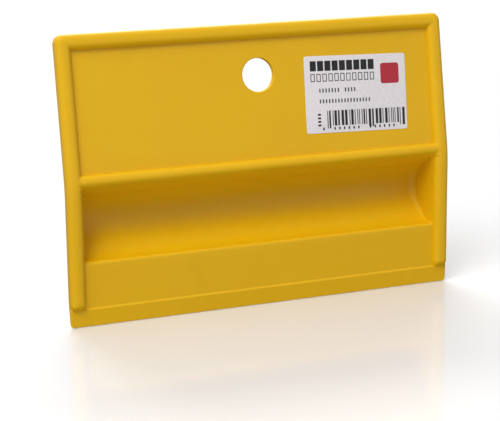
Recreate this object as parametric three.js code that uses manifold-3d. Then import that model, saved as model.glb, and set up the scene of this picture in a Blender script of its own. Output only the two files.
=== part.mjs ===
// A wallpaper smoothing spatula: one moulded plastic body with a paper label on its front.
// Millimetres. X runs along the blade, -Y is the front that the fingers grip, +Z is up.
// The design is drawn with its blade edge on z = 0, then moved so that the middle of the
// hanging hole is the origin.
import * as THREE from 'three';
import { mergeVertices } from 'three/addons/utils/BufferGeometryUtils.js';
import Module from 'manifold-3d';

const wasm = await Module();
wasm.setup();

// Plate
const WIDTH = 150;
const WALL = 2.2;
const LEAN = THREE.MathUtils.degToRad(9.5);
const BEND_HEIGHT = 50;
const BEND_RADIUS = 40;
const UPPER_LENGTH = 53.4;
const TOP_CORNER = 2.3;
const BLADE_CORNER = 1.4;

// Blade strip along the bottom
const BLADE_HEIGHT = 6.3;
const BLADE_STEP = 0.5;
const BLADE_EDGE = 0.8;
const BLADE_BEVEL_HEIGHT = 9;

// Raised border and ridge
const BEAD_HALF_WIDTH = 2.85;
const BEAD_HEIGHT = 2.4;
const BEAD_END_HEIGHT = 8.6;
const BEAD_END_LENGTH = 2.4;
const MITRE_OVERLAP = 0.02;
const RIDGE_RADIUS = 2;
const RIDGE_FROM_BEND = 2.3;

// Finger groove
const LIP_HEIGHT = 23.3;
const LIP_ROUND = 1.2;
const FLOOR_RADIUS = 8;
const FLOOR_START = 1.5;
const FLOOR_SLOPE = THREE.MathUtils.degToRad(42);
const GROOVE_RADIUS = 10.2;
const GROOVE_DEPTH = 14.2;
const GROOVE_CENTRE_HEIGHT = 36.5;
const GROOVE_END_FILLET = 2.5;

// Hanging hole
const HOLE_RADIUS = 6.1;
const HOLE_FROM_BEND = 34.7;

// Label
const LABEL_WIDTH = 41.4;
const LABEL_HEIGHT = 28.3;
const LABEL_THICKNESS = 0.15;
const LABEL_CORNER = 0.9;
const LABEL_X = 38.6;
const LABEL_FROM_BEND = 25.4;
const LABEL_TURN = THREE.MathUtils.degToRad(-1.6);
const LABEL_GAP = 0.25;

const ARC_STEPS = 16;
const INNER_HALF = WIDTH / 2 - 2 * BEAD_HALF_WIDTH;

// The side view is drawn with y across and z up, and extruded along X.
const SIDE_VIEW = new THREE.Matrix4().makeBasis(
  new THREE.Vector3(0, 1, 0),
  new THREE.Vector3(0, 0, 1),
  new THREE.Vector3(1, 0, 0),
);

// The upper plate's own axes: X along the blade, Y up the slope, Z out of the front face.
const UPPER_VIEW = new THREE.Matrix4()
  .makeBasis(
    new THREE.Vector3(1, 0, 0),
    new THREE.Vector3(0, Math.sin(LEAN), Math.cos(LEAN)),
    new THREE.Vector3(0, -Math.cos(LEAN), Math.sin(LEAN)),
  )
  .setPosition(0, 0, BEND_HEIGHT);

// A point of the side view, up the upper plate from the bend and out of its front face.
function onUpper(along, out) {
  return new THREE.Vector2(
    along * Math.sin(LEAN) - out * Math.cos(LEAN),
    BEND_HEIGHT + along * Math.cos(LEAN) + out * Math.sin(LEAN),
  );
}

function solid(geometry) {
  geometry.deleteAttribute('normal');
  geometry.deleteAttribute('uv');
  const merged = mergeVertices(geometry, 1e-4);
  return new wasm.Manifold(
    new wasm.Mesh({
      numProp: 3,
      vertProperties: merged.attributes.position.array,
      triVerts: new Uint32Array(merged.index.array),
    }),
  );
}

function geometryOf(manifold) {
  const mesh = manifold.getMesh();
  const geometry = new THREE.BufferGeometry();
  geometry.setAttribute('position', new THREE.BufferAttribute(mesh.vertProperties, 3));
  geometry.setIndex(new THREE.BufferAttribute(mesh.triVerts, 1));
  return geometry;
}

// Extrudes a side-view outline across the middle, with its ends rounded by a fillet.
function acrossMiddle(shape, halfLength, fillet) {
  const geometry = new THREE.ExtrudeGeometry(shape, {
    depth: 2 * (halfLength - fillet),
    bevelEnabled: fillet > 0,
    bevelThickness: fillet,
    bevelSize: fillet,
    bevelOffset: -fillet,
    bevelSegments: 4,
    curveSegments: ARC_STEPS,
  });
  geometry.translate(0, 0, -(halfLength - fillet));
  geometry.applyMatrix4(SIDE_VIEW);
  return solid(geometry);
}

// The plain plate: blade strip, lower panel, bend and leaning upper panel.
function plateOutline() {
  const front = BEND_RADIUS + WALL;
  const bendStart = BEND_HEIGHT - front * Math.tan(LEAN / 2);
  const topFront = onUpper(UPPER_LENGTH, 0);
  const topBack = onUpper(UPPER_LENGTH, -WALL);
  const shape = new THREE.Shape();
  shape.moveTo(0, 0);
  shape.lineTo(-BLADE_STEP, BLADE_HEIGHT);
  shape.lineTo(0, BLADE_HEIGHT + 0.9 * BLADE_STEP);
  shape.lineTo(0, bendStart);
  shape.absarc(front, bendStart, front, Math.PI, Math.PI - LEAN, true);
  shape.lineTo(topFront.x, topFront.y);
  shape.lineTo(topBack.x, topBack.y);
  shape.absarc(front, bendStart, BEND_RADIUS, Math.PI - LEAN, Math.PI, false);
  shape.lineTo(WALL, BLADE_BEVEL_HEIGHT);
  shape.lineTo(BLADE_EDGE, 0);
  shape.closePath();
  return shape;
}

// The groove's side view, drawn larger by the wall for the hump on the back.
function grooveOutline(grow) {
  const ridge = onUpper(RIDGE_FROM_BEND, 0);
  const centre = new THREE.Vector2(GROOVE_DEPTH - GROOVE_RADIUS, GROOVE_CENTRE_HEIGHT);
  const toRidge = ridge.clone().sub(centre);
  const roofSlope =
    Math.acos((GROOVE_RADIUS + RIDGE_RADIUS) / toRidge.length()) +
    Math.atan2(toRidge.x, toRidge.y);
  const roofNormal = new THREE.Vector2(Math.sin(roofSlope), Math.cos(roofSlope));
  const roofEnd = ridge.clone().addScaledVector(roofNormal, grow - RIDGE_RADIUS);
  const reach = BEAD_HALF_WIDTH + GROOVE_END_FILLET + roofEnd.x + grow;
  const shape = new THREE.Shape();
  if (grow > 0) {
    shape.moveTo(roofEnd.x - reach, LIP_HEIGHT - grow);
    shape.lineTo(FLOOR_START, LIP_HEIGHT - grow);
  } else {
    shape.moveTo(roofEnd.x - reach, LIP_HEIGHT - LIP_ROUND);
    shape.lineTo(0, LIP_HEIGHT - LIP_ROUND);
    shape.absarc(LIP_ROUND, LIP_HEIGHT - LIP_ROUND, LIP_ROUND, Math.PI, Math.PI / 2, true);
  }
  shape.absarc(
    FLOOR_START,
    LIP_HEIGHT + FLOOR_RADIUS,
    FLOOR_RADIUS + grow,
    -Math.PI / 2,
    FLOOR_SLOPE - Math.PI / 2,
    false,
  );
  shape.absarc(
    centre.x,
    centre.y,
    GROOVE_RADIUS + grow,
    FLOOR_SLOPE - Math.PI / 2,
    Math.PI / 2 - roofSlope,
    false,
  );
  shape.lineTo(roofEnd.x, roofEnd.y);
  shape.lineTo(roofEnd.x - reach, roofEnd.y + reach * Math.tan(roofSlope));
  shape.closePath();
  return shape;
}

// A half-round bead's section, x out of the face and y across it, with a foot in the plate.
function beadSection() {
  const shape = new THREE.Shape();
  shape.moveTo(-WALL / 2, -BEAD_HALF_WIDTH);
  shape.lineTo(0, -BEAD_HALF_WIDTH);
  shape.absellipse(
    0,
    0,
    BEAD_HEIGHT,
    BEAD_HALF_WIDTH,
    -Math.PI / 2,
    Math.PI / 2,
    false,
    0,
  );
  shape.lineTo(-WALL / 2, BEAD_HALF_WIDTH);
  shape.closePath();
  return shape;
}

// Everything behind the middle of the lower panel's wall.
function behindFace() {
  const geometry = new THREE.BoxGeometry(2 * WIDTH, WIDTH, 2 * WIDTH);
  geometry.translate(0, (WIDTH + WALL) / 2, 0);
  return solid(geometry);
}

// The bead up one side, following the bend, with a rounded lower end.
function sideBead(side) {
  const x = side * (WIDTH / 2 - BEAD_HALF_WIDTH);
  const radius = BEND_RADIUS + WALL;
  const bendStart = BEND_HEIGHT - radius * Math.tan(LEAN / 2);
  const top = onUpper(UPPER_LENGTH, 0);
  const points = [new THREE.Vector3(x, 0, BEAD_END_HEIGHT)];
  for (let i = 0; i <= 4; i += 1) {
    const turn = (LEAN * i) / 4;
    const y = radius * (1 - Math.cos(turn));
    points.push(new THREE.Vector3(x, y, bendStart + radius * Math.sin(turn)));
  }
  points.push(new THREE.Vector3(x, top.x, top.y));
  const path = new THREE.CurvePath();
  for (let i = 1; i < points.length; i += 1) {
    path.add(new THREE.LineCurve3(points[i - 1], points[i]));
  }
  const bead = solid(
    new THREE.ExtrudeGeometry(beadSection(), {
      steps: 40,
      extrudePath: path,
      curveSegments: ARC_STEPS,
    }),
  );
  const end = new THREE.SphereGeometry(1, 2 * ARC_STEPS, ARC_STEPS);
  end.scale(BEAD_HALF_WIDTH, BEAD_HEIGHT, BEAD_END_LENGTH);
  end.translate(x, 0, BEAD_END_HEIGHT);
  return bead.add(solid(end).subtract(behindFace()));
}

// The bead along the top edge, in the upper plate's own axes.
function topBead() {
  const geometry = new THREE.ExtrudeGeometry(beadSection(), {
    depth: WIDTH,
    bevelEnabled: false,
    curveSegments: ARC_STEPS,
  });
  geometry.rotateY(-Math.PI / 2);
  geometry.translate(WIDTH / 2, UPPER_LENGTH - BEAD_HALF_WIDTH, 0);
  geometry.applyMatrix4(UPPER_VIEW);
  return solid(geometry);
}

// The space over the top bead, between the two 45 degree mitres where the beads meet.
function mitreSpace(raise) {
  const half = WIDTH / 2 + 1;
  const shape = new THREE.Shape();
  shape.moveTo(-half, UPPER_LENGTH + 1);
  shape.lineTo(0, UPPER_LENGTH + 1 - half);
  shape.lineTo(half, UPPER_LENGTH + 1);
  shape.closePath();
  const geometry = new THREE.ExtrudeGeometry(shape, { depth: WIDTH, bevelEnabled: false });
  geometry.translate(0, raise, -WIDTH / 2);
  geometry.applyMatrix4(UPPER_VIEW);
  return solid(geometry);
}

// The ridge between the upper panel and the groove.
function ridge() {
  const centre = onUpper(RIDGE_FROM_BEND, 0);
  const geometry = new THREE.CylinderGeometry(
    RIDGE_RADIUS,
    RIDGE_RADIUS,
    2 * (INNER_HALF + BEAD_HALF_WIDTH / 2),
    2 * ARC_STEPS,
  );
  geometry.rotateZ(Math.PI / 2);
  geometry.translate(0, centre.x, centre.y);
  return solid(geometry);
}

// The front view's rounded outline, which trims the corners.
function frontOutline() {
  const half = WIDTH / 2;
  const top = onUpper(UPPER_LENGTH, 0).y;
  const shape = new THREE.Shape();
  shape.absarc(half - BLADE_CORNER, BLADE_CORNER, BLADE_CORNER, -Math.PI / 2, 0, false);
  shape.absarc(half - TOP_CORNER, top - TOP_CORNER, TOP_CORNER, 0, Math.PI / 2, false);
  shape.absarc(TOP_CORNER - half, top - TOP_CORNER, TOP_CORNER, Math.PI / 2, Math.PI, false);
  shape.absarc(BLADE_CORNER - half, BLADE_CORNER, BLADE_CORNER, Math.PI, 1.5 * Math.PI, false);
  shape.closePath();
  const geometry = new THREE.ExtrudeGeometry(shape, {
    depth: WIDTH,
    bevelEnabled: false,
    curveSegments: 8,
  });
  geometry.rotateX(Math.PI / 2);
  geometry.translate(0, WIDTH / 2, 0);
  return solid(geometry);
}

function hangingHole() {
  const geometry = new THREE.CylinderGeometry(HOLE_RADIUS, HOLE_RADIUS, 8 * WALL, 48);
  geometry.rotateX(Math.PI / 2);
  geometry.translate(0, HOLE_FROM_BEND, 0);
  geometry.applyMatrix4(UPPER_VIEW);
  return solid(geometry);
}

function spatulaBody() {
  const plate = acrossMiddle(plateOutline(), WIDTH / 2, 0);
  const hump = acrossMiddle(grooveOutline(WALL), INNER_HALF + WALL, GROOVE_END_FILLET + WALL);
  const groove = acrossMiddle(grooveOutline(0), INNER_HALF, GROOVE_END_FILLET);
  const body = plate
    .add(hump.intersect(behindFace()))
    .add(topBead().intersect(mitreSpace(0)))
    .add(sideBead(-1).subtract(mitreSpace(MITRE_OVERLAP)))
    .add(sideBead(1).subtract(mitreSpace(MITRE_OVERLAP)))
    .add(ridge())
    .intersect(frontOutline())
    .subtract(groove)
    .subtract(hangingHole());
  return new THREE.Mesh(
    geometryOf(body),
    new THREE.MeshStandardMaterial({ color: 0xdcab2c, roughness: 0.42, metalness: 0 }),
  );
}

function label() {
  const halfWidth = LABEL_WIDTH / 2 - LABEL_CORNER;
  const halfHeight = LABEL_HEIGHT / 2 - LABEL_CORNER;
  const shape = new THREE.Shape();
  shape.absarc(halfWidth, -halfHeight, LABEL_CORNER, -Math.PI / 2, 0, false);
  shape.absarc(halfWidth, halfHeight, LABEL_CORNER, 0, Math.PI / 2, false);
  shape.absarc(-halfWidth, halfHeight, LABEL_CORNER, Math.PI / 2, Math.PI, false);
  shape.absarc(-halfWidth, -halfHeight, LABEL_CORNER, Math.PI, 1.5 * Math.PI, false);
  shape.closePath();
  const geometry = new THREE.ExtrudeGeometry(shape, {
    depth: LABEL_THICKNESS,
    bevelEnabled: false,
    curveSegments: 6,
  });
  geometry.rotateZ(LABEL_TURN);
  geometry.translate(LABEL_X, LABEL_FROM_BEND, LABEL_GAP);
  geometry.applyMatrix4(UPPER_VIEW);
  return new THREE.Mesh(
    geometry,
    new THREE.MeshStandardMaterial({ color: 0xd4cfd2, roughness: 0.6, metalness: 0 }),
  );
}

const group = new THREE.Group();
group.name = 'smoothing_spatula';
const parts = { spatula_body: spatulaBody(), label: label() };
const holeMiddle = onUpper(HOLE_FROM_BEND, -WALL / 2);
for (const [name, mesh] of Object.entries(parts)) {
  mesh.name = name;
  mesh.position.set(0, -holeMiddle.x, -holeMiddle.y);
  group.add(mesh);
}

export default group;
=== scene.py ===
"""A wallpaper smoothing spatula standing upright on its blade in a pale studio.

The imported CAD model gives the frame. The moulded body is rebuilt here as one dense mesh with the
same dimensions and every edge rounded, and the label as a paper sheet with its printing. Lengths
are in millimetres, in the side view's own coordinates, until a mesh is made.
"""

import math

import bmesh
import bpy
import numpy as np
from mathutils import Matrix, Vector


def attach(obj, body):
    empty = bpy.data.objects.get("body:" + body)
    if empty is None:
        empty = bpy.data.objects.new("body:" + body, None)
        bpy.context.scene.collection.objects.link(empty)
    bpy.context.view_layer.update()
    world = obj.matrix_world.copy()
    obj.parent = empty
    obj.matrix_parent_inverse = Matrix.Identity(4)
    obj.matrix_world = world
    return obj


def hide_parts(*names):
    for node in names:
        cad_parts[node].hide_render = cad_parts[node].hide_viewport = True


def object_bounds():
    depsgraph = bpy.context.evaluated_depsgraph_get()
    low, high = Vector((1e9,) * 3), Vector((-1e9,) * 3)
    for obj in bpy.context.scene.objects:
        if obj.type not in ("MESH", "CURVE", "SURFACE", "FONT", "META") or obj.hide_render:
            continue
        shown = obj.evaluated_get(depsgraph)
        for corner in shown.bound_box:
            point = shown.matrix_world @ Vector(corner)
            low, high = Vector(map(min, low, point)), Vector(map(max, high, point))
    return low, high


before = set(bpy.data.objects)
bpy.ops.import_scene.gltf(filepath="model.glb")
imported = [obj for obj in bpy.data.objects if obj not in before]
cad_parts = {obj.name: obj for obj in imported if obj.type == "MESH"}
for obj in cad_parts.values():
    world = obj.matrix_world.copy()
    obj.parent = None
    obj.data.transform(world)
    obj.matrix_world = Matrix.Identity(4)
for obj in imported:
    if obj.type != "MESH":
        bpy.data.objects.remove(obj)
cad_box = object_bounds()

MM = 0.001

# Plate
WIDTH = 150.0
WALL = 2.2
LEAN = math.radians(9.5)
BEND_HEIGHT = 50.0
BEND_RADIUS = 40.0
UPPER_LENGTH = 53.4
TOP_CORNER = 3.3
BLADE_CORNER = 1.4
BACK_EDGE_ROUND = 0.5
TOP_TRIM = 0.06
STRIP_ROUND = 0.3

# Blade strip
BLADE_HEIGHT = 6.3
BLADE_STEP = 0.42
BLADE_EDGE = 0.8
BLADE_NOSE_ROUND = 0.15
BLADE_BEVEL_HEIGHT = 9.0
BLADE_BEVEL_BLEND = 14.0
STEP_BELOW, STEP_ABOVE = 0.15, 0.45
STEP_CREST_ROUND = 0.35
STEP_FOOT_ROUND = 0.3
PLAIN_STRETCH = 9.0
ROW_SPACING = 0.02

# Raised border and ridge
BEAD_HALF = 2.85
BEAD_HEIGHT = 2.4
BEAD_FLATNESS = 2.7
BEAD_INNER_SOFTNESS = 1.25
BEAD_END_HEIGHT = 8.8
BEAD_END_LENGTH = 2.6
BEAD_END_SLOPE = 1.7
RIDGE_RADIUS = 2.25
RIDGE_FROM_BEND = 2.15
RIDGE_BLEND = 2.5
RIDGE_JOIN_SOFTNESS = 0.5

# Finger groove, and the hump it makes at the back
LIP_HEIGHT = 23.3
LIP_ROUND = 1.2
FLOOR_RADIUS = 8.0
FLOOR_SLOPE = math.radians(42)
GROOVE_RADIUS = 10.2
GROOVE_DEPTH = 14.2
GROOVE_CENTRE_HEIGHT = 36.5
END_DRAFT = 0.8
END_FILLET = 2.7
END_WALL_SHARE = 0.82
HUMP_FOOT_ROUND = 1.5
HUMP_END = 2.6
HUMP_FOOT = 1.0
HUMP_DRAFT = 1.2
HUMP_ROUND = 4.2
HUMP_FOOT_SHARE, HUMP_WALL_SHARE = 0.07, 0.7

# Hanging hole
HOLE_RADIUS = 6.1
HOLE_FROM_BEND = 34.7
HOLE_ROUND = 0.35
HOLE_PATCH = 9.0
HOLE_SHARES = (0.3, 0.6, 0.85)

# Label
LABEL_WIDTH = 41.4
LABEL_HEIGHT = 28.3
LABEL_THICKNESS = 0.1
LABEL_CORNER = 0.9
LABEL_X = 38.6
LABEL_FROM_BEND = 25.4
LABEL_TURN = math.radians(-1.6)
LABEL_RAISE = 0.02
PRINT_RAISE = 0.012

# The label's marks, from its middle: left, bottom, one mark's width and height, gap, how many
HEADING_ROW = (-18.4, 8.6, 2.45, 3.7, 0.5, 9)
BOX_ROW = (-18.3, 4.7, 1.7, 2.9, 0.72, 11)
BOX_WEIGHT = 0.3
SMALL_ROWS = (
    (-15.0, 0.7, 0.5, 1.5, 0.75, 7),
    (-4.6, 0.7, 0.5, 1.5, 0.75, 4),
    (-15.0, -3.2, 0.5, 1.4, 0.75, 17),
)
# The marks that run up the left side: left, bottom, width, height, step, how many
SIDE_MARKS = (-16.0, -11.6, 1.2, 0.7, 1.3, 4)
PATCH_U, PATCH_V, PATCH_SIZE, PATCH_CORNER = 14.1, 6.9, 7.6, 1.0
BARCODE_START, BARCODE_END = -12.2, 18.9
BARCODE_LOW, BARCODE_HIGH = -11.6, -6.0
BAR_MODULE = 0.36
BAR_INK_SHARE = 0.92
GUARD_BARS = (0, 1, 15, 16)
GUARD_LENGTH = 0.9
UNDER_BARS = ((-1.9, 1), (2.6, 6), (17.2, 6))

# Colours
PLASTIC_MAIN = (0.765, 0.44, 0.002)
PLASTIC_DEEP = (0.75, 0.425, 0.002)
PLASTIC_PALE = (0.79, 0.47, 0.008)
PLASTIC_GRIME = (0.6, 0.32, 0.01)
PAPER_MAIN = (0.80, 0.76, 0.775)
PAPER_SHADE = (0.74, 0.70, 0.72)
PAPER_WARM = (0.77, 0.73, 0.735)
INK_BLACK = ((0.012, 0.012, 0.016), (0.12, 0.115, 0.12))
INK_RED = ((0.42, 0.022, 0.04), (0.55, 0.1, 0.12))

# How finely each stretch of the sheet is divided
LIP_STEPS, FLOOR_STEPS, SLOPE_STEPS, BACK_STEPS, ROOF_STEPS, RIDGE_STEPS = 8, 10, 5, 30, 10, 18
PANEL_ROWS, UPPER_ROWS, PATCH_ROWS, MIDDLE_STEPS = 10, 10, 16, 22
BEAD_STEPS, EDGE_STEPS, WALL_STEPS, FILLET_STEPS = 24, 5, 6, 12
WELD_DISTANCE = 0.002

FRONT_BEND_RADIUS = BEND_RADIUS + WALL
BEND_TANGENT = FRONT_BEND_RADIUS * math.tan(LEAN / 2)
BEND_START = BEND_HEIGHT - BEND_TANGENT
BEND_END = BEND_START + FRONT_BEND_RADIUS * LEAN
TOP = BEND_END + UPPER_LENGTH - BEND_TANGENT - TOP_TRIM


# ---------------------------------------------------------------- side view

def on_upper(along, out):
    """A point (y, z) up the upper plate from the bend, and out of its front face."""
    return np.array([
        along * math.sin(LEAN) - out * math.cos(LEAN),
        BEND_HEIGHT + along * math.cos(LEAN) + out * math.sin(LEAN),
    ])


def upper_to_path(along):
    """The distance up the plate's front, from the blade edge, of a place on the upper plate."""
    return BEND_END + along - BEND_TANGENT


def plate_point(path, out):
    """A point (y, z) a distance path up the plate's front face, and out of that face."""
    if path <= BEND_START:
        return np.array([-out, path])
    if path >= BEND_END:
        return on_upper(path - BEND_END + BEND_TANGENT, out)
    turn = (path - BEND_START) / FRONT_BEND_RADIUS
    radius = FRONT_BEND_RADIUS + out
    return np.array([
        FRONT_BEND_RADIUS - radius * math.cos(turn),
        BEND_START + radius * math.sin(turn),
    ])


def arc(centre, radius, start, end, count):
    """Points round an arc, both ends included."""
    angles = np.linspace(start, end, count + 1)
    return [centre + radius * np.array([math.cos(a), math.sin(a)]) for a in angles]


def line(start, end, count):
    """The places between start and end."""
    return [start + (end - start) * i / count for i in range(1, count)]


def corner(before, vertex, after, radius, count):
    """The arc that rounds a corner of a line."""
    incoming = (vertex - before) / np.linalg.norm(vertex - before)
    outgoing = (after - vertex) / np.linalg.norm(after - vertex)
    turn = math.acos(np.clip(incoming @ outgoing, -1, 1))
    side = np.sign(incoming[0] * outgoing[1] - incoming[1] * outgoing[0])
    begin = vertex - incoming * radius * math.tan(turn / 2)
    normal = np.array([-incoming[1], incoming[0]]) * side
    first = math.atan2(-normal[1], -normal[0])
    return arc(begin + normal * radius, radius, first, first + side * turn, count)


HOLE_MIDDLE = on_upper(HOLE_FROM_BEND, -WALL / 2)
GROOVE_CENTRE = np.array([GROOVE_DEPTH - GROOVE_RADIUS, GROOVE_CENTRE_HEIGHT])
RIDGE_CENTRE = on_upper(RIDGE_FROM_BEND, 0)
TO_RIDGE = RIDGE_CENTRE - GROOVE_CENTRE
ROOF_SLOPE = math.atan2(TO_RIDGE[0], TO_RIDGE[1]) + math.acos(
    (GROOVE_RADIUS + RIDGE_RADIUS) / np.linalg.norm(TO_RIDGE)
)
ROOF_NORMAL = np.array([math.sin(ROOF_SLOPE), math.cos(ROOF_SLOPE)])
SLOPE_ANGLE = FLOOR_SLOPE - math.pi / 2
ROOF_ANGLE = math.pi / 2 - ROOF_SLOPE
SLOPE_NORMAL = np.array([math.cos(SLOPE_ANGLE), math.sin(SLOPE_ANGLE)])
FLOOR_Z = LIP_HEIGHT + FLOOR_RADIUS
FLOOR_Y = (
    GROOVE_CENTRE @ SLOPE_NORMAL + GROOVE_RADIUS - FLOOR_RADIUS - FLOOR_Z * SLOPE_NORMAL[1]
) / SLOPE_NORMAL[0]
FLOOR_CENTRE = np.array([FLOOR_Y, FLOOR_Z])


def groove_shape(grow, rows, floor_start):
    """Carries a side view from the floor's start round the back to the start of the roof."""
    floor = arc(FLOOR_CENTRE, FLOOR_RADIUS + grow, floor_start, SLOPE_ANGLE, FLOOR_STEPS)
    back = arc(GROOVE_CENTRE, GROOVE_RADIUS + grow, SLOPE_ANGLE, ROOF_ANGLE, BACK_STEPS)
    return rows + floor + line(floor[-1], back[0], SLOPE_STEPS) + back


def groove_side():
    """The groove from the panel over the lip to the end of its roof on the ridge."""
    lip_centre = np.array([LIP_ROUND, LIP_HEIGHT - LIP_ROUND])
    lip = arc(lip_centre, LIP_ROUND, math.pi, math.pi / 2, LIP_STEPS)
    rows = groove_shape(0.0, lip, -math.pi / 2)
    roof_end = RIDGE_CENTRE - ROOF_NORMAL * RIDGE_RADIUS
    return rows + line(rows[-1], roof_end, ROOF_STEPS) + [roof_end]


def ridge_side():
    """The ridge's rounded front, from the roof's end up to the upper panel."""
    start = math.atan2(-ROOF_NORMAL[1], -ROOF_NORMAL[0])
    end = math.pi / 2 - LEAN - 2 * math.pi
    return arc(RIDGE_CENTRE, RIDGE_RADIUS, start, end, RIDGE_STEPS)[1:]


def hump_side():
    """The groove's outside, seen at the back."""
    reach = FLOOR_RADIUS + WALL + HUMP_FOOT_ROUND
    foot_y = WALL + HUMP_FOOT_ROUND
    foot_z = FLOOR_CENTRE[1] - math.sqrt(reach ** 2 - (foot_y - FLOOR_CENTRE[0]) ** 2)
    foot_centre = np.array([foot_y, foot_z])
    up = FLOOR_CENTRE - foot_centre
    meet = math.atan2(up[1], up[0])
    foot = arc(foot_centre, HUMP_FOOT_ROUND, math.pi, meet, LIP_STEPS)
    rows = groove_shape(WALL, foot[:-1], meet - math.pi)
    roof = np.array([-ROOF_NORMAL[1], ROOF_NORMAL[0]])
    plate = np.array([math.sin(LEAN), math.cos(LEAN)])
    start = on_upper(0, -WALL)
    share = np.linalg.solve(np.column_stack([roof, -plate]), start - rows[-1])
    top = rows[-1] + roof * share[0]
    end = corner(rows[-1], top, top + plate, HUMP_FOOT_ROUND, LIP_STEPS)
    return rows + line(rows[-1], end[0], ROOF_STEPS) + end


def blade_outline(front):
    """The strip's side view from its edge to the plain plate."""
    edge = np.array([BLADE_EDGE / 2, 0.0])
    if front:
        low = np.array([0.0, 0.0])
        crest = np.array([-BLADE_STEP, BLADE_HEIGHT - STEP_BELOW])
        step = np.array([0.0, BLADE_HEIGHT + STEP_ABOVE])
        rows = corner(edge, low, crest, BLADE_NOSE_ROUND, 3)
        rows += corner(low, crest, step, STEP_CREST_ROUND, 6)
        rows += corner(crest, step, step + [0.0, PLAIN_STRETCH], STEP_FOOT_ROUND, 4)
        return rows
    low = np.array([BLADE_EDGE, 0.0])
    top = np.array([WALL, BLADE_BEVEL_HEIGHT])
    nose = corner(edge, low, top, BLADE_NOSE_ROUND, 3)
    return nose + corner(low, top, top + [0.0, PLAIN_STRETCH], BLADE_BEVEL_BLEND, 8)


# ---------------------------------------------------------------- rows up the plate

class Row:
    """One line of the sheet from side to side.

    flat is its point on the plain plate at the sides and deep its point across the middle. keep
    is how much of deep's shape reaches the border, below how far the row is down the border's
    rounded end, ridge how far the ridge stands out, and top the angle round the top border.
    """

    def __init__(self, path, out=0.0, flat=None, deep=None, keep=1.0, below=0.0, ridge=0.0,
                 top=None):
        self.path = path
        self.flat = plate_point(path, out) if flat is None else flat
        self.deep = self.flat if deep is None else deep
        self.normal = plate_point(path, 1) - plate_point(path, 0)
        self.keep = keep
        self.below = below
        self.ridge = ridge
        self.top = top


def past_bead_end(height):
    """How far a height above the blade edge is down the border's rounded end, from 0 to 1."""
    return min(max((BEAD_END_HEIGHT - height) / BEAD_END_LENGTH, 0.0), 1.0)


def blade_rows(front):
    """The rows over the blade strip and the rounded lower ends of the border."""
    outline = np.array(blade_outline(front))
    heights = list(outline[:, 1]) + list(np.linspace(0.6, BLADE_HEIGHT - 0.8, 5))
    if front:
        turns = np.linspace(0, math.pi / 2, 12)
        heights += [BEAD_END_HEIGHT - BEAD_END_LENGTH * math.sin(t) for t in turns]
    rows = [Row(0.0, flat=outline[0], below=1.0)]
    for height in sorted(h for h in heights if h > 0):
        if height - rows[-1].path < ROW_SPACING:
            continue
        y = float(np.interp(height, outline[:, 1], outline[:, 0]))
        rows.append(Row(height, flat=np.array([y, height]), below=past_bead_end(height)))
    return rows


def lengths_along(points):
    """How far along a line of points each of them is."""
    steps = [0.0] + [float(np.linalg.norm(b - a)) for a, b in zip(points, points[1:])]
    return np.cumsum(steps)


def ridge_place(point):
    """Where a point of the ridge is: up the plate's path, and out of its face."""
    offset = point - RIDGE_CENTRE
    along = offset @ np.array([math.sin(LEAN), math.cos(LEAN)])
    out = offset @ np.array([-math.cos(LEAN), math.sin(LEAN)])
    return upper_to_path(RIDGE_FROM_BEND + along), max(out, 0.0)


def lower_rows(front):
    """From the blade's edge to the top of the ridge, or of the hump at the back."""
    rows = blade_rows(front)
    shape = groove_side() if front else hump_side()
    out = 0.0 if front else -WALL
    foot = shape[0][1]
    for path in np.linspace(rows[-1].path, foot, PANEL_ROWS + 1)[1:-1]:
        rows.append(Row(path, out))
    top = ridge_place(shape[-1])[0]
    length = lengths_along(shape)
    for point, so_far in zip(shape, length):
        path = foot + (top - foot) * so_far / length[-1]
        keep = max(0.0, 1 - (length[-1] - so_far) / RIDGE_BLEND) ** 2 if front else 0.0
        rows.append(Row(path, out, deep=point, keep=keep))
    if front:
        for point in ridge_side():
            path, stand = ridge_place(point)
            rows.append(Row(path, out, deep=point, ridge=stand))
    return rows


def upper_rows(start, front):
    """The upper panel, with even rows at the hole, and the rows over the top border."""
    out = 0.0 if front else -WALL
    hole = upper_to_path(HOLE_FROM_BEND)
    rim = rim_depths(front)
    inner = TOP - rim[-1][0]
    paths = list(np.linspace(start, hole - HOLE_PATCH, UPPER_ROWS + 1)[1:])
    paths += list(np.linspace(hole - HOLE_PATCH, hole + HOLE_PATCH, PATCH_ROWS + 1)[1:])
    paths += list(np.linspace(hole + HOLE_PATCH, inner, 5)[1:-1])
    rows = [Row(path, out) for path in paths]
    for depth, angle in reversed(rim):
        rows.append(Row(TOP - depth, out, top=angle))
    return rows


# ---------------------------------------------------------------- the sheets

def rim_depths(front):
    """From the outer edge inwards: the distance from it, and the angle round the rim's section."""
    if front:
        angles = np.linspace(0, math.pi, BEAD_STEPS + 1)
        return [(BEAD_HALF * (1 - math.cos(a)), a) for a in angles]
    angles = np.linspace(0, math.pi / 2, EDGE_STEPS + 1)
    return [(BACK_EDGE_ROUND * (1 - math.cos(a)), a) for a in angles]


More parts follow.
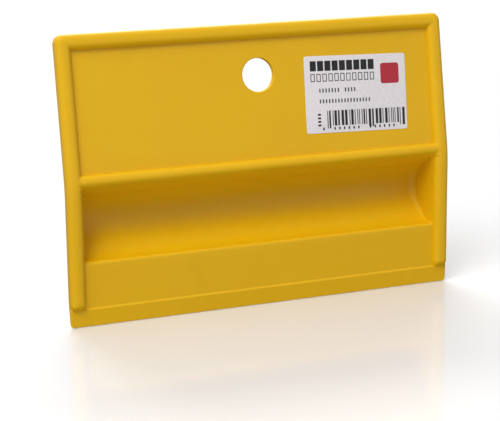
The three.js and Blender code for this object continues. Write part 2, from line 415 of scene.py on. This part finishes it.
def end_depths(front):
    """Across the groove's end, or the hump's: the distance from the edge, and the depth's share."""
    turns = np.linspace(0, math.pi / 2, FILLET_STEPS + 1)
    if front:
        start = 2 * BEAD_HALF
        walls = [(start + END_DRAFT * s, END_WALL_SHARE * s)
                 for s in np.linspace(0, 1, WALL_STEPS + 1)[1:]]
        rest = 1 - END_WALL_SHARE
        start += END_DRAFT
        return walls + [(start + END_FILLET * (1 - math.cos(t)),
                         END_WALL_SHARE + rest * math.sin(t)) for t in turns[1:]]
    foot = [(HUMP_END + HUMP_FOOT * math.sin(t), HUMP_FOOT_SHARE * (1 - math.cos(t)))
            for t in turns[::3]]
    wall = HUMP_END + HUMP_FOOT
    rise = HUMP_WALL_SHARE - HUMP_FOOT_SHARE
    walls = [(wall + HUMP_DRAFT * s, HUMP_FOOT_SHARE + rise * s)
             for s in np.linspace(0, 1, WALL_STEPS + 1)[1:]]
    wall += HUMP_DRAFT
    rest = 1 - HUMP_WALL_SHARE
    return foot + walls + [(wall + HUMP_ROUND * (1 - math.cos(t)),
                            HUMP_WALL_SHARE + rest * math.sin(t)) for t in turns[1:]]


def all_columns(front):
    """Every column from left to right: side, distance from its edge or x, angle, depth's share."""
    sides = [(d, a, 0.0) for d, a in rim_depths(front)]
    sides += [(d, None, s) for d, s in end_depths(front)]
    edge = WIDTH / 2 - sides[-1][0]
    outer = list(np.linspace(-edge, -HOLE_PATCH, MIDDLE_STEPS + 1)[1:])
    middle = list(np.linspace(-HOLE_PATCH, HOLE_PATCH, PATCH_ROWS + 1)[1:-1])
    across = outer + middle + [-x for x in reversed(outer)]
    columns = [(-1, *c) for c in sides]
    columns += [(0, x, None, 1.0) for x in across]
    return columns + [(1, *c) for c in reversed(sides)]


def rounded_corner(depth_x, depth_top, radius):
    """Moves a point near a square corner onto the contours of a rounded one."""
    near, far = min(depth_x, depth_top), max(depth_x, depth_top)
    rest = radius - near
    along = far - near
    if rest <= 0 or along >= rest:
        return depth_x, depth_top
    turn = math.pi / 4 * (1 + along / rest)
    new_near = near + rest * (1 - math.sin(turn))
    new_far = near + rest * (1 - math.cos(turn))
    return (new_near, new_far) if depth_x <= depth_top else (new_far, new_near)


def smooth_max(a, b, soft):
    """The larger of two heights, with the crease between them filled over a height soft."""
    soft = max(min(soft, a, b), 1e-6)
    blend = max(soft - abs(a - b), 0.0) / soft
    return max(a, b) + blend * blend * soft / 4


def bead_height(angle, below=0.0):
    """The border's height at an angle round its flat-topped section. below rounds off its end."""
    across = abs(math.cos(angle)) ** (BEAD_FLATNESS + 3 * below)
    rest = math.sqrt(max(1 - across - below ** BEAD_END_SLOPE, 0.0))
    return BEAD_HEIGHT * rest ** (BEAD_INNER_SOFTNESS if angle > math.pi / 2 else 1)


def front_height(row, angle):
    """How far the border stands out of the plate at an angle round its section."""
    if angle is None:
        return 0.0 if row.top is None else bead_height(row.top)
    nearest = angle if row.top is None else min(angle, row.top)
    height = bead_height(nearest, row.below)
    return height if angle <= math.pi / 2 else smooth_max(height, row.ridge, RIDGE_JOIN_SOFTNESS)


def edge_drop(depth, radius):
    """How far a rounded edge has fallen away, a given depth in from it."""
    return radius - math.sqrt(max(0.0, radius ** 2 - max(0.0, radius - depth) ** 2))


def sheet_point(row, side, depth, angle, share, front):
    """The point (x, y, z) where a row and a column of the front or back sheet cross."""
    top_depth = TOP - row.path
    path_shift = 0.0
    if side and angle is not None:
        depth, new_top = rounded_corner(depth, top_depth, TOP_CORNER)
        path_shift = top_depth - new_top
        low = edge_drop(row.path, BLADE_CORNER)
        depth += low * (1 - depth / (2 * BEAD_HALF))
    moved = share + (1 - share) * row.keep
    point = row.flat + (row.deep - row.flat) * moved
    height = 0.0
    if front:
        height = front_height(row, angle if side else None)
        if side and angle is not None:
            near = min(max(2 * angle / math.pi - 1, 0.0), 1.0)
            own = row.deep - row.flat - row.ridge * row.normal
            point = row.flat + own * row.keep * near * near * (3 - 2 * near)
            height -= edge_drop(depth, STRIP_ROUND) * row.below
        elif row.ridge:
            height = 0.0
    else:
        outer = min(depth if side else TOP, top_depth)
        height = edge_drop(outer, BACK_EDGE_ROUND)
    if path_shift:
        point = point + plate_point(row.path + path_shift, 0) - plate_point(row.path, 0)
    point = point + height * row.normal
    x = depth if not side else side * (WIDTH / 2 - depth)
    return (x, point[0], point[1])


class Sheet:
    """The body's front or back as a grid of points, with the hole's square left open."""

    def __init__(self, front):
        self.front = front
        self.rows = lower_rows(front)
        self.rows += upper_rows(self.rows[-1].path, front)
        self.columns = all_columns(front)
        hole = upper_to_path(HOLE_FROM_BEND)
        first = min(range(len(self.rows)),
                    key=lambda j: abs(self.rows[j].path - hole + HOLE_PATCH))
        left = min(range(len(self.columns)),
                   key=lambda i: abs(self.columns[i][1] + HOLE_PATCH) + 99 * abs(self.columns[i][0]))
        self.hole = (first, first + PATCH_ROWS, left, left + PATCH_ROWS)

    def points(self):
        return [sheet_point(row, *column, self.front) for row in self.rows
                for column in self.columns]

    def index(self, j, i):
        return j * len(self.columns) + i

    def crease(self, j, i):
        """Which way a cell is split: along a mitre of the border, or not at all."""
        column, row = self.columns[i], self.rows[j]
        if not self.front or row.top is None or column[2] is None or column[0] == 0:
            return 0
        if j + 1 >= len(self.rows) or self.columns[i + 1][2] is None:
            return 0
        side = column[0]
        mirror = i if side < 0 else len(self.columns) - 1 - (i + 1)
        from_top = len(self.rows) - 1 - (j + 1)
        return side if mirror == from_top else 0

    def faces(self):
        low, high, left, right = self.hole
        for j in range(len(self.rows) - 1):
            for i in range(len(self.columns) - 1):
                if low <= j < high and left <= i < right:
                    continue
                a, b = self.index(j, i), self.index(j, i + 1)
                d, c = self.index(j + 1, i), self.index(j + 1, i + 1)
                split = self.crease(j, i)
                if split < 0:
                    yield from ([b, c, d], [b, d, a])
                elif split > 0:
                    yield from ([a, b, c], [a, c, d])
                else:
                    yield [a, b, c, d]

    def outline(self):
        """The outer loop, as (share of the way round, index)."""
        last_row, last_column = len(self.rows) - 1, len(self.columns) - 1
        across = [self.across(i) for i in range(last_column + 1)]
        up = [row.path / TOP for row in self.rows]
        loop = [(across[i], self.index(0, i)) for i in range(last_column)]
        loop += [(1 + up[j], self.index(j, last_column)) for j in range(last_row)]
        loop += [(3 - across[i], self.index(last_row, i)) for i in range(last_column, 0, -1)]
        loop += [(4 - up[j], self.index(j, 0)) for j in range(last_row, 0, -1)]
        return loop

    def across(self, i):
        side, depth = self.columns[i][0], self.columns[i][1]
        x = depth if not side else side * (WIDTH / 2 - depth)
        return (x + WIDTH / 2) / WIDTH

    def hole_loop(self):
        low, high, left, right = self.hole
        loop = [self.index(low, i) for i in range(left, right)]
        loop += [self.index(j, right) for j in range(low, high)]
        loop += [self.index(high, i) for i in range(right, left, -1)]
        return loop + [self.index(j, left) for j in range(high, low, -1)]


def bridge(first, second):
    """Triangles between two loops of (share of the way round, vertex)."""
    a, b = 0, 0
    faces = []
    first = first + [(4.0, first[0][1])]
    second = second + [(4.0, second[0][1])]
    while a < len(first) - 1 or b < len(second) - 1:
        step_first = b == len(second) - 1 or (
            a < len(first) - 1 and first[a + 1][0] <= second[b + 1][0]
        )
        if step_first:
            faces.append([first[a][1], first[a + 1][1], second[b][1]])
            a += 1
        else:
            faces.append([first[a][1], second[b + 1][1], second[b][1]])
            b += 1
    return faces


# ---------------------------------------------------------------- making the meshes

def to_row(point):
    """A place in the side view's coordinates as metres from the middle of the hanging hole."""
    x, y, z = point
    return Vector((x, y - HOLE_MIDDLE[0], z - HOLE_MIDDLE[1])) * MM


def on_face(x, along, out):
    """A place on the upper panel's front: across, up from the bend and out of the face."""
    y, z = on_upper(along, out)
    return (x, y, z)


def mesh_object(name, points, faces, material, sharp=None):
    """A piece riding on the body, smooth apart from the edges steeper than the angle sharp."""
    bm = bmesh.new()
    verts = [bm.verts.new(to_row(p)) for p in points]
    for face in faces:
        if len(set(face)) == len(face):
            bm.faces.new([verts[k] for k in face])
    loose = [v for v in bm.verts if not v.link_faces]
    bmesh.ops.delete(bm, geom=loose, context="VERTS")
    bmesh.ops.remove_doubles(bm, verts=bm.verts, dist=WELD_DISTANCE * MM)
    bmesh.ops.recalc_face_normals(bm, faces=bm.faces)
    for face in bm.faces:
        face.smooth = True
    if sharp is not None:
        for edge in bm.edges:
            if len(edge.link_faces) == 2 and edge.calc_face_angle(0.0) > sharp:
                edge.smooth = False
    mesh = bpy.data.meshes.new(name)
    bm.to_mesh(mesh)
    bm.free()
    obj = bpy.data.objects.new(name, mesh)
    bpy.context.collection.objects.link(obj)
    mesh.materials.append(material)
    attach(obj, "root")
    return obj


def hole_rings(front_loop, back_loop, points):
    """Carries the front's square round the hole in to its rim, through the wall and out again."""
    centre = np.array([0.0, *on_upper(HOLE_FROM_BEND, 0)])
    along = np.array([0.0, math.sin(LEAN), math.cos(LEAN)])
    faces = []

    def ring(share, radius, out):
        """A loop of new points, a share of the way in from the square to a circle."""
        made = []
        for k in front_loop:
            offset = np.array(points[k]) - centre
            flat = np.array([offset[0], offset @ along])
            edge = radius / np.linalg.norm(flat) * flat
            place = flat + (edge - flat) * share
            y, z = on_upper(HOLE_FROM_BEND + place[1], out)
            points.append((place[0], y, z))
            made.append(len(points) - 1)
        return made

    loops = [front_loop]
    rim = HOLE_RADIUS + HOLE_ROUND
    turns = np.linspace(0, math.pi / 2, 6)
    loops += [ring(share, rim, 0.0) for share in HOLE_SHARES]
    for t in turns:
        radius = rim - HOLE_ROUND * math.sin(t)
        loops.append(ring(1, radius, HOLE_ROUND * (math.cos(t) - 1)))
    for t in reversed(turns):
        radius = rim - HOLE_ROUND * math.sin(t)
        loops.append(ring(1, radius, HOLE_ROUND * (1 - math.cos(t)) - WALL))
    loops += [ring(share, rim, -WALL) for share in reversed(HOLE_SHARES)]
    loops.append(back_loop)
    for near, far in zip(loops, loops[1:]):
        for k in range(len(near)):
            n = (k + 1) % len(near)
            faces.append([near[k], near[n], far[n], far[k]])
    return faces


def make_body(material):
    """The moulded body: both sheets, the rim between them and the hole's rim."""
    front, back = Sheet(True), Sheet(False)
    points = front.points()
    start = len(points)
    points += back.points()
    faces = list(front.faces())
    faces += [[k + start for k in reversed(face)] for face in back.faces()]
    back_outline = [(share, k + start) for share, k in back.outline()]
    faces += bridge(front.outline(), back_outline)
    back_hole = [k + start for k in back.hole_loop()]
    faces += hole_rings(front.hole_loop(), back_hole, points)
    body = mesh_object("body", points, faces, material,
                       sharp=math.radians(38))
    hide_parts("spatula_body")
    return body


# ---------------------------------------------------------------- materials

class Nodes:
    """Short names for building one procedural material."""

    def __init__(self, name):
        self.material = bpy.data.materials.new(name)
        self.material.use_nodes = True
        self.tree = self.material.node_tree
        self.shader = self.tree.nodes["Principled BSDF"]
        self.place = self.tree.nodes.new("ShaderNodeTexCoord").outputs["Object"]

    def link(self, output, target):
        self.tree.links.new(output, target)

    def noise(self, scale, detail=3.0, stretch=None, distortion=0.0):
        node = self.tree.nodes.new("ShaderNodeTexNoise")
        node.inputs["Scale"].default_value = scale
        node.inputs["Detail"].default_value = detail
        node.inputs["Distortion"].default_value = distortion
        self.link(self.stretched(stretch), node.inputs["Vector"])
        return node.outputs["Fac"]

    def stretched(self, stretch):
        if stretch is None:
            return self.place
        node = self.tree.nodes.new("ShaderNodeMapping")
        node.inputs["Scale"].default_value = stretch
        self.link(self.place, node.inputs["Vector"])
        return node.outputs["Vector"]

    def ramp(self, source, low, high, low_value=0.0, high_value=1.0):
        node = self.tree.nodes.new("ShaderNodeMapRange")
        node.interpolation_type = "SMOOTHSTEP"
        for key, value in (("From Min", low), ("From Max", high),
                           ("To Min", low_value), ("To Max", high_value)):
            node.inputs[key].default_value = value
        self.link(source, node.inputs["Value"])
        return node.outputs["Result"]

    def math(self, operation, first, second):
        node = self.tree.nodes.new("ShaderNodeMath")
        node.operation = operation
        for k, value in enumerate((first, second)):
            if isinstance(value, (int, float)):
                node.inputs[k].default_value = value
            else:
                self.link(value, node.inputs[k])
        return node.outputs[0]

    def mix(self, share, first, second):
        node = self.tree.nodes.new("ShaderNodeMix")
        node.data_type = "RGBA"
        for key, value in (("Factor", share), ("A", first), ("B", second)):
            socket = next(s for s in node.inputs if s.name == key
                          and s.type == ("VALUE" if key == "Factor" else "RGBA"))
            if isinstance(value, (int, float)):
                socket.default_value = value
            elif isinstance(value, tuple):
                socket.default_value = (*value, 1.0)
            else:
                self.link(value, socket)
        return next(s for s in node.outputs if s.type == "RGBA")

    def bump(self, height, distance, strength=1.0, under=None):
        node = self.tree.nodes.new("ShaderNodeBump")
        node.inputs["Distance"].default_value = distance
        node.inputs["Strength"].default_value = strength
        self.link(height, node.inputs["Height"])
        if under is not None:
            self.link(under, node.inputs["Normal"])
        return node.outputs["Normal"]

    def set(self, **values):
        for key, value in values.items():
            socket = self.shader.inputs[key.replace("_", " ")]
            if isinstance(value, (int, float, tuple)):
                socket.default_value = value
            else:
                self.link(value, socket)


def plastic():
    """Satin injection-moulded yellow plastic: fine spark texture, slight flow shade, soft scuffs."""
    n = Nodes("yellow_plastic")
    flow = n.noise(14.0, 2.0, (1.0, 1.0, 2.2), 0.6)
    mottle = n.noise(160.0, 3.0)
    colour = n.mix(n.ramp(flow, 0.3, 0.7), PLASTIC_DEEP, PLASTIC_MAIN)
    colour = n.mix(n.ramp(mottle, 0.55, 0.8, 0.0, 0.25), colour, PLASTIC_PALE)
    grime = n.ramp(n.noise(55.0, 4.0, None, 0.3), 0.62, 0.8, 0.0, 0.16)
    colour = n.mix(grime, colour, PLASTIC_GRIME)
    scuff = n.ramp(n.noise(90.0, 4.0, (0.12, 1.0, 3.0), 0.2), 0.62, 0.72)
    edge = n.tree.nodes.new("ShaderNodeNewGeometry").outputs["Pointiness"]
    worn = n.math("MULTIPLY", n.ramp(edge, 0.53, 0.6), n.ramp(mottle, 0.35, 0.6, 0.0, 0.35))
    colour = n.mix(worn, colour, PLASTIC_PALE)
    rough = n.ramp(n.noise(40.0, 3.0), 0.3, 0.7, 0.40, 0.48)
    rough = n.math("ADD", rough, n.math("MULTIPLY", scuff, 0.06))
    spark = n.noise(4200.0, 2.0)
    sink = n.noise(22.0, 1.0)
    normal = n.bump(sink, 0.00025, 0.25)
    normal = n.bump(n.noise(600.0, 3.0, (0.1, 1.0, 2.0)), 0.00002, 0.35, normal)
    normal = n.bump(spark, 0.00003, 0.45, normal)
    n.set(Base_Color=colour, Roughness=rough, Normal=normal, IOR=1.49, Specular_IOR_Level=0.45)
    n.set(Subsurface_Weight=0.1, Subsurface_Scale=0.0015, Subsurface_Radius=(1.0, 0.5, 0.04))
    return n.material


def paper():
    """Matt coated label paper with a faint fibre and tiny bubbles under it."""
    n = Nodes("label_paper")
    fibre = n.noise(1500.0, 4.0, (1.0, 1.0, 0.35))
    shade = n.noise(60.0, 2.0)
    colour = n.mix(n.ramp(fibre, 0.3, 0.7), PAPER_SHADE, PAPER_MAIN)
    colour = n.mix(n.ramp(shade, 0.4, 0.75, 0.0, 0.3), colour, PAPER_WARM)
    normal = n.bump(n.noise(130.0, 2.0), 0.00005, 0.5)
    normal = n.bump(fibre, 0.00001, 0.5, normal)
    n.set(Base_Color=colour, Roughness=n.ramp(shade, 0.3, 0.7, 0.42, 0.55), Normal=normal)
    return n.material


def ink(name, dark, light):
    """Thermal-print ink: slightly uneven, so the paper shows through."""
    n = Nodes(name)
    uneven = n.noise(2600.0, 3.0)
    colour = n.mix(n.ramp(uneven, 0.5, 0.85, 0.0, 0.5), dark, light)
    n.set(Base_Color=colour, Roughness=n.ramp(uneven, 0.3, 0.7, 0.4, 0.6))
    n.set(Normal=n.bump(uneven, 0.000005, 0.4))
    return n.material


# ---------------------------------------------------------------- the label

def label_place(u, v, out):
    """A place on the label, u across and v up from its middle."""
    c, s = math.cos(LABEL_TURN), math.sin(LABEL_TURN)
    return on_face(LABEL_X + u * c - v * s, LABEL_FROM_BEND + u * s + v * c, out)


def rounded_outline(width, height, radius, steps=6):
    """A rectangle's outline with round corners, anticlockwise from the bottom right."""
    outline = []
    for k, (sx, sy) in enumerate(((1, -1), (1, 1), (-1, 1), (-1, -1))):
        cx, cy = sx * (width / 2 - radius), sy * (height / 2 - radius)
        for a in np.linspace(-math.pi / 2, 0, steps + 1) + k * math.pi / 2:
            outline.append((cx + radius * math.cos(a), cy + radius * math.sin(a)))
    return outline


def make_label(material):
    """The paper sheet: a flat top with a softly rounded edge going down to the plastic."""
    points, loops = [], []
    thick = LABEL_THICKNESS
    for inset, out in ((0.0, 0.0), (0.0, 0.6 * thick), (0.03, 0.9 * thick), (0.12, thick)):
        outline = rounded_outline(LABEL_WIDTH - 2 * inset, LABEL_HEIGHT - 2 * inset,
                                  LABEL_CORNER - inset)
        loops.append(range(len(points), len(points) + len(outline)))
        points += [label_place(u, v, LABEL_RAISE + out) for u, v in outline]
    faces = [list(reversed(loops[0])), list(loops[-1])]
    for low, high in zip(loops, loops[1:]):
        for k in range(len(low)):
            n = (k + 1) % len(low)
            faces.append([low[k], low[n], high[n], high[k]])
    label = mesh_object("label_sheet", points, faces, material,
                        sharp=math.radians(50))
    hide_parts("label")
    return label


class Printing:
    """Flat printed shapes on the label, gathered into one mesh."""

    def __init__(self):
        self.points = []
        self.faces = []

    def patch(self, outline):
        start = len(self.points)
        self.points += outline
        self.faces.append(list(range(start, len(self.points))))

    def bar(self, u0, v0, u1, v1):
        self.patch([(u0, v0), (u1, v0), (u1, v1), (u0, v1)])

    def boxes(self, u, v, width, height, gap, count, weight):
        """A row of boxes in outline, with lines of a given weight."""
        for k in range(count):
            left = u + k * (width + gap)
            self.bar(left, v, left + width, v + weight)
            self.bar(left, v + height - weight, left + width, v + height)
            for edge in (left, left + width - weight):
                self.bar(edge, v + weight, edge + weight, v + height - weight)

    def blocks(self, u, v, width, height, gap, count):
        """A row of solid blocks."""
        for k in range(count):
            left = u + k * (width + gap)
            self.bar(left, v, left + width, v + height)

    def make(self, name, material):
        out = LABEL_RAISE + LABEL_THICKNESS + PRINT_RAISE
        points = [label_place(u, v, out) for u, v in self.points]
        return mesh_object(name, points, self.faces, material)


def make_printing(black, red):
    """Plain marks that spell nothing, where a label has its lines of print."""
    dark = Printing()
    dark.blocks(*HEADING_ROW)
    dark.boxes(*BOX_ROW, BOX_WEIGHT)
    for row in SMALL_ROWS:
        dark.blocks(*row)
    side_u, side_v, side_width, side_height, side_step, side_count = SIDE_MARKS
    for k in range(side_count):
        dark.blocks(side_u, side_v + side_step * k, side_width, side_height, 0.0, 1)
    barcode(dark)
    dark.make("label_print", black)
    colour_patch = Printing()
    square = rounded_outline(PATCH_SIZE, PATCH_SIZE, PATCH_CORNER)
    colour_patch.patch([(PATCH_U + u, PATCH_V + v) for u, v in square])
    colour_patch.make("label_patch", red)


def barcode(printing):
    """A dummy barcode: its bar widths come from a simple repeating rule and encode nothing."""
    u, k = BARCODE_START, 0
    while u < BARCODE_END:
        width = BAR_MODULE * (1 + (k * k + k // 3) % 4 % 3)
        guard = k in GUARD_BARS or u > BARCODE_END - 4 * BAR_MODULE
        low = BARCODE_LOW - (GUARD_LENGTH if guard else 0.0)
        printing.bar(u, low, u + width * BAR_INK_SHARE, BARCODE_HIGH)
        u += width + BAR_MODULE * (1 + (k + k // 5) % 3 % 2)
        k += 1
    for offset, count in UNDER_BARS:
        printing.blocks(BARCODE_START + offset, BARCODE_LOW - 1.5, 0.6, 1.0, 1.35, count)


# ---------------------------------------------------------------- the object

make_body(plastic())
make_label(paper())
make_printing(ink("label_ink", *INK_BLACK), ink("label_red", *INK_RED))

# ---------------------------------------------------------------- studio

def area_light(name, place, target, size, power, glossy=True):
    """A soft rectangular light, out of the camera's sight, and out of reflections if not glossy."""
    data = bpy.data.lights.new(name, "AREA")
    data.shape = "RECTANGLE"
    data.size, data.size_y = size
    data.energy = power
    light = bpy.data.objects.new(name, data)
    light.location = place
    light.visible_camera = False
    light.visible_glossy = glossy
    light.rotation_mode = "QUATERNION"
    light.rotation_quaternion = (Vector(target) - Vector(place)).to_track_quat("-Z", "Y")
    bpy.context.collection.objects.link(light)
    return light


def floor_material():
    """Polished pale acrylic, a little uneven."""
    n = Nodes("studio_floor")
    shade = n.noise(3.0, 2.0)
    n.set(Base_Color=n.mix(n.ramp(shade, 0.3, 0.7), (0.82, 0.82, 0.83), (0.84, 0.84, 0.84)))
    n.set(Roughness=n.ramp(shade, 0.3, 0.7, 0.012, 0.02), IOR=1.75)
    n.set(Normal=n.bump(n.noise(900.0, 2.0), 0.00001, 0.2))
    return n.material


def make_floor(height, size=3.0, steps=24):
    """The floor, which the object is mirrored in and which sends it neither light nor shadow."""
    bm = bmesh.new()
    verts = [[bm.verts.new((size * (2 * i / steps - 1), size * (2 * j / steps - 1), height))
              for i in range(steps + 1)] for j in range(steps + 1)]
    for j in range(steps):
        for i in range(steps):
            bm.faces.new((verts[j][i], verts[j][i + 1], verts[j + 1][i + 1], verts[j + 1][i]))
    mesh = bpy.data.meshes.new("floor")
    bm.to_mesh(mesh)
    bm.free()
    floor = bpy.data.objects.new("floor", mesh)
    bpy.context.collection.objects.link(floor)
    mesh.materials.append(floor_material())
    floor.visible_diffuse = False
    floor.visible_glossy = False
    floor.visible_shadow = False


def make_camera():
    data = bpy.data.cameras.new("camera")
    camera = bpy.data.objects.new("camera", data)
    bpy.context.collection.objects.link(camera)
    data.lens = CAMERA_LENS
    data.sensor_width = 36.0
    data.clip_start, data.clip_end = 0.01, 20.0
    aim = (CAMERA_TARGET - CAMERA_PLACE).to_track_quat("-Z", "Y").to_matrix().to_4x4()
    roll = Matrix.Rotation(CAMERA_ROLL, 4, "Z")
    camera.matrix_world = Matrix.Translation(CAMERA_PLACE) @ aim @ roll
    bpy.context.scene.camera = camera


def make_world():
    """White light from all round, with its strength set by how high it comes from."""
    world = bpy.data.worlds.new("studio")
    bpy.context.scene.world = world
    world.use_nodes = True
    tree = world.node_tree
    background = tree.nodes["Background"]
    background.inputs["Color"].default_value = (1.0, 1.0, 1.0, 1.0)
    direction = tree.nodes.new("ShaderNodeTexCoord")
    split = tree.nodes.new("ShaderNodeSeparateXYZ")
    tree.links.new(direction.outputs["Generated"], split.inputs["Vector"])
    lifted = tree.nodes.new("ShaderNodeMath")
    lifted.operation = "MULTIPLY_ADD"
    lifted.inputs[1].default_value = 0.5
    lifted.inputs[2].default_value = 0.5
    tree.links.new(split.outputs["Z"], lifted.inputs[0])
    levels = tree.nodes.new("ShaderNodeFloatCurve")
    for height, strength in SKY_LEVELS:
        levels.mapping.curves[0].points.new(height, strength)
    tree.links.new(lifted.outputs[0], levels.inputs["Value"])
    tree.links.new(levels.outputs[0], background.inputs["Strength"])


CAMERA_PLACE = Vector((-0.22888, -0.53898, 0.08653))
CAMERA_TARGET = Vector((-0.00628, -0.00691, -0.0482))
CAMERA_LENS = 117.6
CAMERA_ROLL = math.radians(-0.655)

# The studio's own brightness, from straight down (0) through the horizon (0.5) to straight up (1)
SKY_LEVELS = ((0.3, 0.12), (0.5, 0.62), (0.72, 0.4))
FLOOR_GAP = 0.0002
BODY_MIDDLE = (0, 0, -0.03)
FLOOR_BEHIND = (0.3, 1.1, -0.08)

make_floor(cad_box[0].z - FLOOR_GAP)
make_camera()
make_world()
area_light("key", (-0.72, -0.62, 1.08), BODY_MIDDLE, (0.8, 0.8), 14.0, glossy=False)
area_light("sparkle", (-0.6, -0.7, 0.9), BODY_MIDDLE, (0.35, 0.35), 1.8)
area_light("fill", (-0.2, -1.5, 0.0), BODY_MIDDLE, (1.2, 0.8), 0.8, glossy=False)
area_light("lift", (-0.15, -0.5, -0.95), BODY_MIDDLE, (0.9, 0.9), 3.8, glossy=False)
area_light("floor_wash", (0.4, 1.5, 1.2), FLOOR_BEHIND, (1.6, 0.8), 40.0)

bpy.context.scene.view_settings.view_transform = "Standard"
